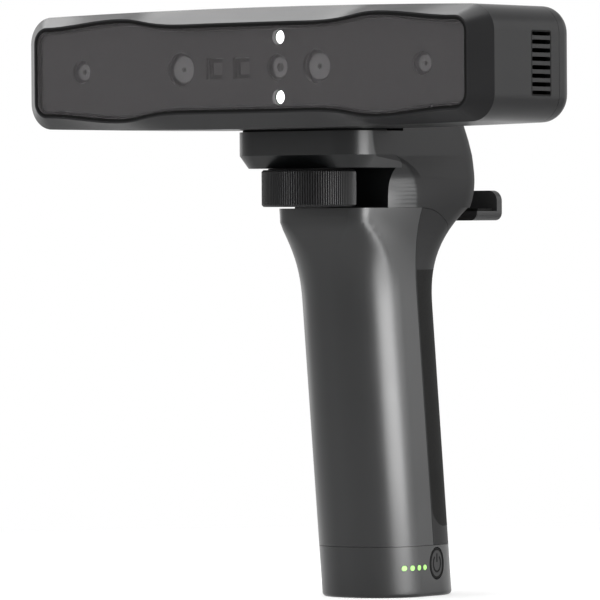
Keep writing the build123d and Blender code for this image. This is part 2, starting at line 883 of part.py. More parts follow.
with BuildPart() as saddle_housing:
    add(plate.part)
    add(column.part)
    add(side_region([
        (plate_front - overrun, grip_top - overrun),
        (slot_back, grip_top - overrun),
        (slot_back, plate_bottom),
        (plate_front - overrun, plate_bottom),
    ]), mode=Mode.SUBTRACT)
    add(seam_wedge.part)
    with BuildSketch(Plane.XY.offset(grip_top - seam_fall)):
        with Locations((0, (hollow_front + hollow_rear) / 2)):
            Rectangle(saddle_hollow_width, hollow_rear - hollow_front)
    extrude(amount=seam_fall + slot_height + plate_chamfer_height, mode=Mode.SUBTRACT)
    add(side_region([
        (plate_front - overrun, plate_top),
        (riser_front, plate_top),
        (riser_front, plate_top + riser_height + overrun),
        (plate_front - overrun, plate_top + riser_height + overrun),
    ]), mode=Mode.SUBTRACT)
    with BuildSketch(Plane.XY.offset(plate_bottom - overrun)):
        with Locations((0, wheel_y)):
            Circle(stud_size / 2 + run_gap)
    extrude(amount=plate_thickness + 2 * overrun, mode=Mode.SUBTRACT)
    with BuildSketch(Plane.XY.offset(grip_top - overrun)):
        with Locations((0, slot_back + saddle_screw_forward)):
            with GridLocations(saddle_screw_spread, 0, 2, 1):
                Circle(screw_size / 2)
    extrude(amount=overrun + saddle_screw_bite, mode=Mode.SUBTRACT)
    with BuildSketch(Plane.XY.offset(plate_top + riser_height)):
        with Locations((0, foot_rear - bracket_foot_depth / 2)):
            with GridLocations(bracket_foot_width - screw_head - 2 * overrun, 0, 2, 1):
                Circle(screw_size / 2)
    extrude(amount=-saddle_screw_bite, mode=Mode.SUBTRACT)
save(saddle_housing, "saddle_housing")

# Rubber pad between the saddle and the head
pad_front = plate_front + saddle_pad_inset
pad_rear = riser_front - saddle_pad_inset
with BuildPart() as saddle_pad:
    with BuildSketch(Plane.XY.offset(plate_top)):
        with Locations((0, (pad_front + pad_rear) / 2)):
            RectangleRounded(
                saddle_width - 2 * saddle_pad_inset, pad_rear - pad_front, saddle_corner - saddle_pad_inset
            )
        with Locations((0, wheel_y)):
            Circle(insert_size / 2, mode=Mode.SUBTRACT)
    extrude(amount=head_pad_gap)
save(saddle_pad, "saddle_pad")

# Clamping wheel with upright grooves, its threaded stud and a thrust washer
with BuildPart() as clamp_wheel:
    with BuildSketch(Plane.XY.offset(wheel_bottom)):
        with Locations((0, wheel_y)):
            Circle(wheel_size / 2)
            Circle(stud_size / 2, mode=Mode.SUBTRACT)
    extrude(amount=wheel_height)
    rims = clamp_wheel.edges().filter_by(GeomType.CIRCLE).filter_by(lambda edge: edge.radius > stud_size)
    chamfer(rims, wheel_rim_break)
    with BuildSketch(Plane.XY.offset(wheel_bottom + wheel_rim_break)):
        with Locations((0, wheel_y)):
            with PolarLocations(wheel_size / 2, wheel_grooves):
                Rectangle(2 * groove_depth, 2 * groove_depth, rotation=45)
    extrude(amount=wheel_height - 2 * wheel_rim_break, mode=Mode.SUBTRACT)
save(clamp_wheel, "clamp_wheel")

with BuildPart() as clamp_stud:
    with BuildSketch(Plane.XY.offset(wheel_bottom + wheel_rim_break)):
        with Locations((0, wheel_y)):
            Circle(stud_size / 2)
    extrude(amount=head_floor + stud_engagement - wheel_bottom - wheel_rim_break)
    chamfer(faces().sort_by(Axis.Z)[-1].edges(), small_break)
save(clamp_stud, "clamp_stud")

with BuildPart() as thrust_washer:
    with BuildSketch(Plane.XY.offset(wheel_top)):
        with Locations((0, wheel_y)):
            Circle(washer_size / 2)
            Circle(stud_size / 2 + seam, mode=Mode.SUBTRACT)
    extrude(amount=washer_thickness)
save(thrust_washer, "thrust_washer")


# Side view of the rubber pad: it starts just behind the split and wraps round the rear
with BuildPart() as pad_block:
    with BuildSketch(facing_right(-saddle_width)) as pad_sketch:
        with BuildLine():
            Polyline(
                (grip_middle(pad_start) + split_behind + pad_border, pad_start),
                (grip_middle(pad_end) + split_behind + pad_border, pad_end),
                (grip_depth, pad_end),
                (grip_depth, pad_start),
                close=True,
            )
        make_face()
        fillet(pad_sketch.vertices().sort_by(Axis.Y)[:2], pad_round)
    extrude(amount=2 * saddle_width)

# Rubber pad let into the grip's rear
with BuildPart() as grip_pad:
    add(grip_skin.part)
    add(raked_block(base_height - overrun, grip_top, pad_depth), mode=Mode.SUBTRACT)
    add(pad_block.part, mode=Mode.INTERSECT)
save(grip_pad, "grip_pad")

def screw_seat(height):
    """Plane of a grip screw's head, under the rubber pad."""
    return facing_front(grip_middle(height) + grip_depth / 2 - pad_depth - 2 * seat_gap, 0, height)


# Posts across the grip that its two long screws run through, and the holes for the screws
with BuildPart() as screw_posts:
    for height in grip_screw_heights:
        with BuildSketch(facing_front(grip_middle(height) + (grip_depth - grip_wall) / 2, 0, height)):
            Circle(post_size / 2)
        extrude(amount=grip_depth - grip_wall)

with BuildPart() as screw_holes:
    for height in grip_screw_heights:
        with BuildSketch(screw_seat(height).offset(-overrun)):
            Circle(screw_head / 2 + seam)
        extrude(amount=overrun + screw_head_height)
        with BuildSketch(screw_seat(height)):
            Circle(screw_size / 2)
        extrude(amount=grip_depth / 2 + screw_length)

with BuildPart() as grip_screws:
    for height in grip_screw_heights:
        with BuildSketch(screw_seat(height)):
            Circle(screw_head / 2)
        extrude(amount=screw_head_height)
        with BuildSketch(screw_seat(height)):
            Circle(screw_size / 2)
        extrude(amount=grip_depth / 2 + screw_length)
save(grip_screws, "grip_screws")

# Screws from the grip's cavity up into the saddle
saddle_screw_y = slot_back + saddle_screw_forward
with BuildPart() as saddle_screws:
    with BuildSketch(Plane.XY.offset(cavity_end - screw_head_height)):
        with Locations((0, saddle_screw_y)):
            with GridLocations(saddle_screw_spread, 0, 2, 1):
                Circle(screw_head / 2)
    extrude(amount=screw_head_height)
    with BuildSketch(Plane.XY.offset(cavity_end)):
        with Locations((0, saddle_screw_y)):
            with GridLocations(saddle_screw_spread, 0, 2, 1):
                Circle(screw_size / 2)
    extrude(amount=grip_top - cavity_end + saddle_screw_bite)
save(saddle_screws, "saddle_screws")

# Grip, front shell, with the closed lip under the wheel
cavity = raked_block(base_height, cavity_end, grip_wall)
with BuildPart() as grip_front_shell:
    add(grip_skin.part)
    add(seam_region(seam), mode=Mode.SUBTRACT)
    add(cavity, mode=Mode.SUBTRACT)
    add(screw_posts.part)
    add(screw_holes.part, mode=Mode.SUBTRACT)
    add(saddle_screws.part, mode=Mode.SUBTRACT)
    add(split_region(-seam / 2, behind=False), mode=Mode.INTERSECT)
save(grip_front_shell, "grip_front_shell")

# Grip, rear shell, with the recess for the pad and screw posts inside
with BuildPart() as grip_rear_shell:
    add(grip_skin.part)
    add(seam_region(seam), mode=Mode.SUBTRACT)
    add(cavity, mode=Mode.SUBTRACT)
    add(screw_posts.part)
    add(screw_holes.part, mode=Mode.SUBTRACT)
    add(split_region(seam / 2, behind=True), mode=Mode.INTERSECT)
    add(grip_pad.part, mode=Mode.SUBTRACT)
save(grip_rear_shell, "grip_rear_shell")

# Base cap, open at the top, with a boss for the tripod bush
side_wall_inside = grip_half - grip_wall
board_face = inner_board_x + board_thickness
button_y = grip_middle(power_button_height) + power_button_behind
light_ys = [
    button_y - power_button_width / 2 - charge_light_last - index * charge_light_pitch
    for index in range(charge_light_count)
]
rear_y = grip_middle(charging_socket_height) + grip_depth / 2
with BuildPart() as base_cap:
    add(raked_block(0, base_height))
    fillet(faces().sort_by(Axis.Z)[0].edges(), foot_break)
    add(raked_block(floor_thickness, base_height + overrun, grip_wall), mode=Mode.SUBTRACT)
    with BuildSketch(Plane.XY):
        Circle(tripod_boss / 2)
    extrude(amount=tripod_depth + floor_thickness)
    with BuildSketch(Plane.XY):
        Circle(tripod_bush_size / 2)
    extrude(amount=tripod_depth, mode=Mode.SUBTRACT)
    with BuildSketch(Plane.XY.offset(floor_thickness / 2)):
        with GridLocations(0, base_screw_spread, 1, 2):
            Circle(post_size / 2)
    extrude(amount=base_height - floor_thickness / 2)
    with BuildSketch(Plane.XY):
        with GridLocations(0, base_screw_spread, 1, 2):
            Circle(screw_size / 2)
    extrude(amount=base_height, mode=Mode.SUBTRACT)
    with BuildSketch(Plane.XY):
        with GridLocations(0, base_screw_spread, 1, 2):
            Circle(screw_head / 2 + seam)
    extrude(amount=screw_head_height + seam, mode=Mode.SUBTRACT)
    with BuildSketch(facing_right(inner_board_x, button_y, power_button_height)):
        Ellipse(power_button_width / 2 + run_gap, power_button_size / 2 + run_gap)
    extrude(amount=grip_width, mode=Mode.SUBTRACT)
    with BuildSketch(facing_right(inner_board_x, button_y, power_button_height)):
        Ellipse(power_button_width / 2 + 3 * run_gap, power_button_size / 2 + 3 * run_gap)
    extrude(amount=side_wall_inside - inner_board_x, mode=Mode.SUBTRACT)
    with BuildSketch(facing_right(inner_board_x, 0, charge_light_height)):
        for y in light_ys:
            with Locations((y, 0)):
                Circle(charge_light_size / 2 + seam)
    extrude(amount=grip_width, mode=Mode.SUBTRACT)
    with BuildSketch(facing_front(rear_y + overrun, 0, charging_socket_height)):
        SlotOverall(socket_width + 2 * seam, socket_height + 2 * seam)
    extrude(amount=overrun + 2 * grip_wall, mode=Mode.SUBTRACT)
save(base_cap, "base_cap")

base_skin = raked_block(0, base_height)

# Power button: a cap that follows the side and a flange behind the wall
with BuildPart() as power_button:
    with BuildSketch(facing_right(side_wall_inside - seam, button_y, power_button_height)):
        Ellipse(power_button_width / 2, power_button_size / 2)
    extrude(amount=grip_width)
    add(base_skin, mode=Mode.INTERSECT)
    with BuildSketch(facing_right(side_wall_inside - seam, button_y, power_button_height)):
        Ellipse(power_button_width / 2 + 2 * run_gap, power_button_size / 2 + 2 * run_gap)
    extrude(amount=-button_flange)
save(power_button, "power_button")

# Charge lights: short light pipes from the board to the side
with BuildPart() as charge_lights:
    with BuildSketch(facing_right(board_face, 0, charge_light_height)):
        for y in light_ys:
            with Locations((y, 0)):
                Circle(charge_light_size / 2)
    extrude(amount=grip_width)
    add(base_skin, mode=Mode.INTERSECT)
save(charge_lights, "charge_lights")

with BuildPart() as charge_board:
    with BuildSketch(facing_right(inner_board_x, 0, floor_thickness)):
        with Locations(((button_y + light_ys[-1]) / 2, charge_board_height / 2)):
            Rectangle(charge_board_width, charge_board_height)
    extrude(amount=board_thickness)
    with BuildSketch(facing_right(board_face, button_y, power_button_height)):
        Rectangle(switch_size, switch_size)
    extrude(amount=side_wall_inside - 2 * seam - button_flange - power_button_travel - board_face)
save(charge_board, "charge_board")

charging_socket = make_socket(facing_front(rear_y, 0, charging_socket_height))
save(charging_socket, "charging_socket")

# Threaded bush for a tripod in the foot
with BuildPart() as tripod_bush:
    with BuildSketch(Plane.XY):
        Circle(tripod_bush_size / 2)
        Circle(stud_size / 2, mode=Mode.SUBTRACT)
    extrude(amount=tripod_depth)
save(tripod_bush, "tripod_bush")

with BuildPart() as base_screws:
    with BuildSketch(Plane.XY.offset(seam)):
        with GridLocations(0, base_screw_spread, 1, 2):
            Circle(screw_head / 2)
    extrude(amount=screw_head_height)
    with BuildSketch(Plane.XY.offset(seam)):
        with GridLocations(0, base_screw_spread, 1, 2):
            Circle(screw_size / 2)
    extrude(amount=base_height + cradle_foot - seam)
save(base_screws, "base_screws")

# Battery: two cells in a cradle whose foot fits the grip's cavity
cell_floor = base_height + 2 * seam + cradle_foot
cell_offset = (cell_size + cell_gap) / 2


def cell_axis(offset, height):
    """A raked plane at a height, so that cells lie along the grip."""
    return Plane(
        origin=(0, grip_middle(height) + offset, height),
        x_dir=(1, 0, 0),
        z_dir=(0, -rake_slope, 1),
    )


with BuildPart() as cell_cradle:
    add(raked_block(base_height + seam, cell_floor, grip_wall + seam))
    cradle_x = cell_size + 2 * cradle_wall
    cradle_y = 2 * cell_size + cell_gap + 2 * cradle_wall
    with BuildSketch(cell_axis(0, cell_floor - small_break)):
        Rectangle(cradle_x, cradle_y)
    extrude(amount=cradle_height)
    with BuildSketch(cell_axis(0, cell_floor + overrun)):
        with GridLocations(0, 2 * cell_offset, 1, 2):
            Circle(cell_size / 2 + seam)
    extrude(amount=cradle_height, mode=Mode.SUBTRACT)
    with BuildSketch(Plane.XY.offset(base_height)):
        with GridLocations(0, base_screw_spread, 1, 2):
            Circle(screw_size / 2)
    extrude(amount=cradle_foot + 2 * seam, mode=Mode.SUBTRACT)
save(cell_cradle, "cell_cradle")

for name, side in (("front_cell", -1), ("rear_cell", 1)):
    with BuildPart() as cell:
        with BuildSketch(cell_axis(0, cell_floor + overrun)):
            with Locations((0, side * cell_offset)):
                Circle(cell_size / 2)
        extrude(amount=cell_length)
        fillet(cell.edges().filter_by(GeomType.CIRCLE), small_break)
    save(cell, name)

# Phone clamp: bracket on the riser, with the middle knuckle of the tilt hinge
hinge_y = wheel_y + hinge_behind
hinge_z = riser_top + hinge_rise
plate_y = hinge_y + clamp_plate_gap
plate_rear = plate_y + clamp_plate_thickness
lip_y_rear = plate_rear + phone_slot
shelf_top = grip_top + jaw_rise + small_break - pad_sheet
upper_shelf = shelf_top + jaw_opening
with BuildPart() as clamp_bracket:
    with BuildSketch(Plane.XY.offset(riser_top)):
        with Locations((0, foot_rear - bracket_foot_depth / 2)):
            Rectangle(bracket_foot_width, bracket_foot_depth)
        with Locations((0, foot_rear - bracket_foot_depth / 2)):
            with GridLocations(bracket_foot_width - screw_head - 2 * overrun, 0, 2, 1):
                Circle(screw_size / 2, mode=Mode.SUBTRACT)
    extrude(amount=bracket_foot_height)
    with BuildSketch(facing_right(-knuckle_width / 2)):
        with BuildLine():
            Polyline(
                (foot_rear - bracket_foot_depth, riser_top),
                (foot_rear, riser_top),
                (hinge_y, hinge_z - hinge_knuckle / 2),
                (hinge_y, hinge_z + hinge_knuckle / 2),
                (foot_rear - bracket_foot_depth, riser_top + bracket_foot_height),
                close=True,
            )
        make_face()
        with Locations((hinge_y, hinge_z)):
            Circle(hinge_knuckle / 2)
            Circle(hinge_pin_size / 2, mode=Mode.SUBTRACT)
    extrude(amount=knuckle_width)
save(clamp_bracket, "clamp_bracket")

with BuildPart() as bracket_screws:
    with BuildSketch(Plane.XY.offset(riser_top + bracket_foot_height)):
        with Locations((0, foot_rear - bracket_foot_depth / 2)):
            with GridLocations(bracket_foot_width - screw_head - 2 * overrun, 0, 2, 1):
                Circle(screw_head / 2)
    extrude(amount=screw_head_height)
    with BuildSketch(Plane.XY.offset(riser_top + bracket_foot_height)):
        with Locations((0, foot_rear - bracket_foot_depth / 2)):
            with GridLocations(bracket_foot_width - screw_head - 2 * overrun, 0, 2, 1):
                Circle(screw_size / 2)
    extrude(amount=-(bracket_foot_height + saddle_screw_bite))
save(bracket_screws, "bracket_screws")

ear_start = knuckle_width / 2 + run_gap
with BuildPart() as hinge_pin:
    with BuildSketch(facing_right(-ear_start - ear_width, hinge_y, hinge_z)):
        Circle(hinge_pin_size / 2)
    extrude(amount=2 * (ear_start + ear_width))
save(hinge_pin, "hinge_pin")

# Clamp's back plate with two ears on the hinge pin and two guides for the upper jaw's rods
with BuildPart() as clamp_back:
    with BuildSketch(facing_front(plate_rear, 0, shelf_top)):
        with Locations((0, (upper_shelf - shelf_top) / 2)):
            Rectangle(clamp_plate_width, upper_shelf - shelf_top)
    extrude(amount=clamp_plate_thickness)
    with BuildSketch(Plane.XY.offset(upper_shelf)):
        with GridLocations(rod_spread, 0, 2, 1):
            with Locations((0, hinge_y + clamp_plate_gap / 2 + rod_size / 4)):
                Rectangle(guide_width, clamp_plate_gap - rod_size / 2)
        with Locations((0, plate_y + clamp_plate_thickness / 2)):
            Rectangle(rod_spread + guide_width, clamp_plate_thickness)
    extrude(amount=-guide_height)
    for side in (-1, 1):
        start = ear_start if side > 0 else -ear_start - ear_width
        with BuildSketch(facing_right(start)):
            with Locations((hinge_y, hinge_z)):
                Circle(hinge_knuckle / 2)
            with Locations(((hinge_y + plate_rear) / 2, hinge_z)):
                Rectangle(plate_rear - hinge_y, hinge_knuckle)
            with Locations((hinge_y, hinge_z)):
                Circle(hinge_pin_size / 2 + shaft_gap, mode=Mode.SUBTRACT)
        extrude(amount=ear_width)
    rod_y = hinge_y + clamp_plate_gap / 2 + rod_size / 4
    with BuildSketch(Plane.XY.offset(upper_shelf)):
        with Locations((0, rod_y)):
            with GridLocations(rod_spread, 0, 2, 1):
                Circle(rod_size / 2 + shaft_gap)
    extrude(amount=-guide_height, mode=Mode.SUBTRACT)
save(clamp_back, "clamp_back")


def jaw_section(shelf_start, lip_end, shelf_side):
    """Side view of a jaw: a shelf and a lip that stands up or hangs down at its rear."""
    shelf_far = shelf_side - jaw_shelf if lip_end > shelf_side else shelf_side + jaw_shelf
    return [
        (shelf_start, shelf_far),
        (shelf_start, shelf_side),
        (lip_y_rear, shelf_side),
        (lip_y_rear, lip_end),
        (lip_y_rear + jaw_lip, lip_end),
        (lip_y_rear + jaw_lip, shelf_far),
    ]


with BuildPart() as lower_jaw:
    with BuildSketch(facing_right(-jaw_width / 2)):
        with BuildLine():
            Polyline(jaw_section(plate_y, shelf_top + lower_lip_height - jaw_shelf, shelf_top), close=True)
        make_face()
    extrude(amount=jaw_width)
    fillet(lower_jaw.edges().filter_by(Axis.Y).group_by(Axis.Z)[-1], jaw_corner)
    fillet(lower_jaw.edges().filter_by(Axis.Y).group_by(Axis.Z)[0], jaw_shelf - small_break)
save(lower_jaw, "lower_jaw")

with BuildPart() as upper_jaw:
    with BuildSketch(facing_right(-jaw_width / 2)):
        with BuildLine():
            Polyline(
                jaw_section(rod_y - rod_size, upper_shelf + jaw_shelf - upper_lip_height, upper_shelf),
                close=True,
            )
        make_face()
    extrude(amount=jaw_width)
    with BuildSketch(Plane.XY.offset(upper_shelf)):
        with Locations((0, rod_y)):
            with GridLocations(rod_spread, 0, 2, 1):
                Circle(rod_size / 2)
    extrude(amount=jaw_shelf / 2, mode=Mode.SUBTRACT)
save(upper_jaw, "upper_jaw")

with BuildPart() as jaw_rods:
    with BuildSketch(Plane.XY.offset(upper_shelf + jaw_shelf / 2)):
        with Locations((0, rod_y)):
            with GridLocations(rod_spread, 0, 2, 1):
                Circle(rod_size / 2)
    extrude(amount=-rod_length)
save(jaw_rods, "jaw_rods")

# Soft pads on the two jaws and on the back plate
with BuildPart() as lower_jaw_pad:
    with BuildSketch(Plane.XY.offset(shelf_top)):
        with Locations((0, (plate_rear + lip_y_rear) / 2)):
            Rectangle(jaw_width - 2 * pad_margin, phone_slot - 2 * seam)
    extrude(amount=pad_sheet)
save(lower_jaw_pad, "lower_jaw_pad")

with BuildPart() as upper_jaw_pad:
    with BuildSketch(Plane.XY.offset(upper_shelf)):
        with Locations((0, (plate_rear + lip_y_rear) / 2 + pad_sheet)):
            Rectangle(jaw_width - 2 * pad_margin, phone_slot - 2 * pad_sheet - 2 * seam)
    extrude(amount=-pad_sheet)
save(upper_jaw_pad, "upper_jaw_pad")

with BuildPart() as back_pad:
    with BuildSketch(facing_front(plate_rear, 0, (shelf_top + upper_shelf) / 2)):
        Rectangle(clamp_plate_width - 2 * pad_margin, upper_shelf - shelf_top - 6 * pad_margin)
    extrude(amount=-pad_sheet)
save(back_pad, "back_pad")
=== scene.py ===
"""Dresses a hand-held three-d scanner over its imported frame: skins, rubber, glass, metal and lights."""

import json
import math
from typing import NamedTuple

import bmesh
import bpy
import numpy as np
from bpy.props import FloatProperty, FloatVectorProperty, IntProperty, PointerProperty
from mathutils import Matrix, Vector


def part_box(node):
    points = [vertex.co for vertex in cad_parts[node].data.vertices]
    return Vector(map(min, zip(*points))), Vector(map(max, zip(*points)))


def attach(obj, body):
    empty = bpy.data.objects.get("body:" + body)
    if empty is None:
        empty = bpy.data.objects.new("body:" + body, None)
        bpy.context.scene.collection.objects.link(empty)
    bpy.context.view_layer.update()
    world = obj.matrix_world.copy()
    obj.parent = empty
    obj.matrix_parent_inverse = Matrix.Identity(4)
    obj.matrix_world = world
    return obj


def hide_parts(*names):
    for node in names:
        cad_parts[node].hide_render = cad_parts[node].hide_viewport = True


bl_info = {
    "name": "Hand-held three-d scanner",
    "version": (1, 0, 0),
    "blender": (4, 5, 0),
    "location": "View3D > Sidebar > Scanner",
    "description": "Dresses a scanner's frame with skins, a knurled wheel, a tinted window and finishes",
    "category": "Object",
}

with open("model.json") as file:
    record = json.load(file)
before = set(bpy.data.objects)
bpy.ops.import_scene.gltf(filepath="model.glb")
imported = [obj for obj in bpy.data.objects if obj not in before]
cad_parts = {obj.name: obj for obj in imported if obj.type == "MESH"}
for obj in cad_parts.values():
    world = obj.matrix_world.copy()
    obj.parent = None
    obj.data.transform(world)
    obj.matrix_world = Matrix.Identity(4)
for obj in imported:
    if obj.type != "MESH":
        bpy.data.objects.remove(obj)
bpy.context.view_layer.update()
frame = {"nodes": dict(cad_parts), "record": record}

MM = 0.001
WHITE = (1.0, 1.0, 1.0, 1.0)
# Corners of a mesh that lie closer than this are one, and edges shorter than half of it go
MERGE = 0.002 * MM
# How far printed ink is sunk in the surface below it, so that its mesh is closed
SUNK = 0.1 * MM
# Corners along a whole printed ring, along the symbol's open one, and round a vent frame's four corners
RING_POINTS = 96
SYMBOL_POINTS = 48
FRAME_POINTS = 32
# Columns of the wheel's mesh in each groove
COLUMNS_PER_GROOVE = 6


# Sizes and colours


class ScannerCamera(bpy.types.PropertyGroup):
    """Where the camera stands and how it frames the scanner."""

    azimuth: FloatProperty(name="Azimuth", description="Turn round the scanner from its front",
                           default=math.radians(37.79), unit="ROTATION")
    elevation: FloatProperty(name="Elevation", description="Angle above the horizon",
                             default=math.radians(0.614), unit="ROTATION")
    roll: FloatProperty(name="Roll", description="Lean of the camera to the right",
                        default=math.radians(-0.368), unit="ROTATION")
    distance: FloatProperty(name="Distance", description="From the camera to the grip's axis",
                            default=2.346, unit="LENGTH")
    scale: FloatProperty(name="View width", description="Width of the view at the grip's axis",
                         default=0.22506, unit="LENGTH")
    aim_right: FloatProperty(name="Aim to the right", description="Aim's place along the view's right",
                             default=-0.03206, unit="LENGTH")
    aim_height: FloatProperty(name="Aim height", description="Height of the aim above the foot",
                              default=0.11076, unit="LENGTH")


class ScannerSizes(bpy.types.PropertyGroup):
    """Sizes of what the frame leaves to the surface."""

    sharp: FloatProperty(name="Sharp angle", description="Faces that meet at more than this keep an edge",
                         default=math.radians(24.0), unit="ROTATION")
    grooves: IntProperty(name="Grooves", description="Upright grooves round the wheel", default=116, min=12)
    groove_depth: FloatProperty(name="Groove depth", description="Depth of the wheel's grooves",
                                default=0.4 * MM, unit="LENGTH")
    wheel_edge: FloatProperty(name="Wheel edge", description="Width of the wheel's upper and lower bevel",
                              default=0.7 * MM, unit="LENGTH")
    border: FloatProperty(name="Window border", description="Width of the dark print round the window",
                          default=0.35 * MM, unit="LENGTH")
    print_height: FloatProperty(name="Print height", description="Thickness of printed ink",
                                default=0.006 * MM, unit="LENGTH")
    button_flange: FloatProperty(name="Button flange", description="Width of the button's hidden flange",
                                 default=0.85 * MM, unit="LENGTH")
    symbol_tall: FloatProperty(name="Symbol half height", description="Half the height of its ring",
                               default=3.1 * MM, unit="LENGTH")
    symbol_wide: FloatProperty(name="Symbol half width", description="Half the width of its ring",
                               default=2.2 * MM, unit="LENGTH")
    symbol_line: FloatProperty(name="Symbol line", description="Width of the symbol's line",
                               default=0.75 * MM, unit="LENGTH")
    symbol_gap: FloatProperty(name="Symbol gap", description="Half the angle left open at its top",
                              default=math.radians(38), unit="ROTATION")
    bar_low: FloatProperty(name="Bar's foot", default=0.15,
                           description="Foot of the symbol's bar, as a share of the ring's half height")
    bar_high: FloatProperty(name="Bar's top", default=1.2,
                            description="Top of the symbol's bar, as a share of the ring's half height")
    vent_front: FloatProperty(name="Vent front", description="Front edge of the vents' dark frame",
                              default=-55.15 * MM, unit="LENGTH")
    vent_rear: FloatProperty(name="Vent rear", description="Rear edge of the vents' dark frame",
                             default=-42.85 * MM, unit="LENGTH")
    vent_half: FloatProperty(name="Vent half height", description="Half the height of the vents' frame",
                             default=11.85 * MM, unit="LENGTH")
    vent_line: FloatProperty(name="Vent line", description="Width of the line round the vents",
                             default=0.6 * MM, unit="LENGTH")
    vent_corner: FloatProperty(name="Vent corner", description="Corner radius of the vents' frame",
                               default=1.0 * MM, unit="LENGTH")


class ScannerStudio(bpy.types.PropertyGroup):
    """The studio's light and floor."""

    level: FloatProperty(name="Level", description="Strength of the light from all round", default=0.3)
    aim: FloatProperty(name="Lamp aim", description="Height that the lamps face",
                       default=0.12, unit="LENGTH")
    reach: FloatProperty(name="Floor reach", description="Half the width of the floor",
                         default=8.0, unit="LENGTH")
    fade_near: FloatProperty(name="Fade from", description="Where the floor starts to run out into white",
                             default=0.05, unit="LENGTH")
    fade_far: FloatProperty(name="Fade to", description="Where the floor is all white",
                            default=0.55, unit="LENGTH")
    least_white: FloatProperty(name="Least white", description="Share of plain white at the foot",
                               default=0.55)


class ScannerColours(bpy.types.PropertyGroup):
    """Colours of the finishes."""

    head: FloatVectorProperty(name="Head", description="Satin coat of the head", subtype="COLOR",
                              size=4, default=(0.010, 0.010, 0.0105, 1.0))
    grip: FloatVectorProperty(name="Grip front", description="Satin coat of the grip's front",
                              subtype="COLOR", size=4, default=(0.003, 0.0034, 0.0038, 1.0))
    side: FloatVectorProperty(name="Grip rear", description="Matte moulding of the saddle and rear shell",
                              subtype="COLOR", size=4, default=(0.006, 0.006, 0.0063, 1.0))
    rubber: FloatVectorProperty(name="Rubber", description="Rubber of the pads", subtype="COLOR",
                                size=4, default=(0.006, 0.006, 0.0058, 1.0))
    window: FloatVectorProperty(name="Window", description="Tint of the window", subtype="COLOR",
                                size=4, default=(0.038, 0.035, 0.0365, 1.0))
    wheel: FloatVectorProperty(name="Wheel", description="Anodised coat of the wheel", subtype="COLOR",
                               size=4, default=(0.010, 0.010, 0.0105, 1.0))


def settings():
    """The values that a user has set, or their defaults."""
    return bpy.context.scene.scanner


# Meshes


def mesh_from(name, vertices, faces):
    """A mesh from whole arrays of corners and faces."""
    mesh = bpy.data.meshes.new(name)
    mesh.from_pydata(vertices.reshape(-1, 3).tolist(), [], faces.tolist())
    mesh.update()
    return mesh


def grid_faces(rows, columns, round_rows=False, round_columns=False):
    """Quads between neighbouring rows and columns of a grid, which may close on itself."""
    row = np.arange(rows if round_rows else rows - 1)[:, None]
    column = np.arange(columns if round_columns else columns - 1)[None, :]
    next_row, next_column = (row + 1) % rows, (column + 1) % columns
    corners = (row * columns + column, row * columns + next_column,
               next_row * columns + next_column, next_row * columns + column)
    return np.stack([np.broadcast_to(c, (row.size, column.size)) for c in corners], -1).reshape(-1, 4)


def tidy(mesh, outwards=True):
    """Merges doubled corners, turns the faces outwards and marks the edges that stay sharp."""
    shape = bmesh.new()
    shape.from_mesh(mesh)
    bmesh.ops.remove_doubles(shape, verts=shape.verts, dist=MERGE)
    bmesh.ops.dissolve_degenerate(shape, edges=shape.edges, dist=MERGE / 2)
    if outwards:
        bmesh.ops.recalc_face_normals(shape, faces=shape.faces)
    limit = settings().sizes.sharp
    for face in shape.faces:
        face.smooth = True
    for edge in shape.edges:
        edge.smooth = len(edge.link_faces) == 2 and edge.calc_face_angle(0.0) < limit
    shape.to_mesh(mesh)
    shape.free()
    return mesh


def piece(name, mesh, body, slot, finish, *nodes):
    """Puts a finished mesh in the scene, on its body and in place of its frame nodes."""
    made = bpy.data.objects.new(name, mesh)
    bpy.context.scene.collection.objects.link(made)
    made.data.materials.clear()
    made.data.materials.append(finish)
    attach(made, body)
    if nodes:
        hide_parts(*nodes)
    return made


def skin(node, name, body, slot, finish):
    """A smooth skin over a frame node: its own shape merged, with only the true edges left sharp."""
    mesh = frame["nodes"][node].data.copy()
    mesh.name = name
    return piece(name, tidy(mesh, outwards=False), body, slot, finish, node)


def turned(profile, centre, columns, ripple):
    """A profile of (radius, height) carried round an upright axis: the centre plus the radius times
    cosine and sine of the angle. The ripple gives what to take off each row's radius at the angles."""
    angle = np.linspace(0, 2 * math.pi, columns, endpoint=False)[None, :]
    radius = np.array([r for r, z in profile])[:, None] - ripple(angle)
    height = np.array([z for r, z in profile])[:, None]
    return np.stack([centre[0] + radius * np.cos(angle), centre[1] + radius * np.sin(angle),
                     height + 0 * angle], -1)


def outline(node, flatness=0.99, depth=0.02 * MM):
    """The outer loop of a node's flat front, as (X, Z) points in order, and that front's Y. The front is
    all that faces forwards by at least the flatness and lies within the depth of the foremost face."""
    shape = bmesh.new()
    shape.from_mesh(frame["nodes"][node].data)
    bmesh.ops.remove_doubles(shape, verts=shape.verts, dist=MERGE)
    facing = [face for face in shape.faces if face.normal.y < -flatness]
    front = min(face.calc_center_median().y for face in facing)
    flat = {face for face in facing if face.calc_center_median().y - front < depth}
    rim = [edge for edge in shape.edges if sum(link in flat for link in edge.link_faces) == 1]
    loops = []
    while rim:
        edge = rim.pop()
        first, last = edge.verts
        loop = [first, last]
        while last is not first:
            edge = next(link for link in last.link_edges if link in rim)
            rim.remove(edge)
            last = edge.other_vert(last)
            loop.append(last)
        loops.append(np.array([(vert.co.x, vert.co.z) for vert in loop[:-1]]))
    shape.free()
    return max(loops, key=len), front


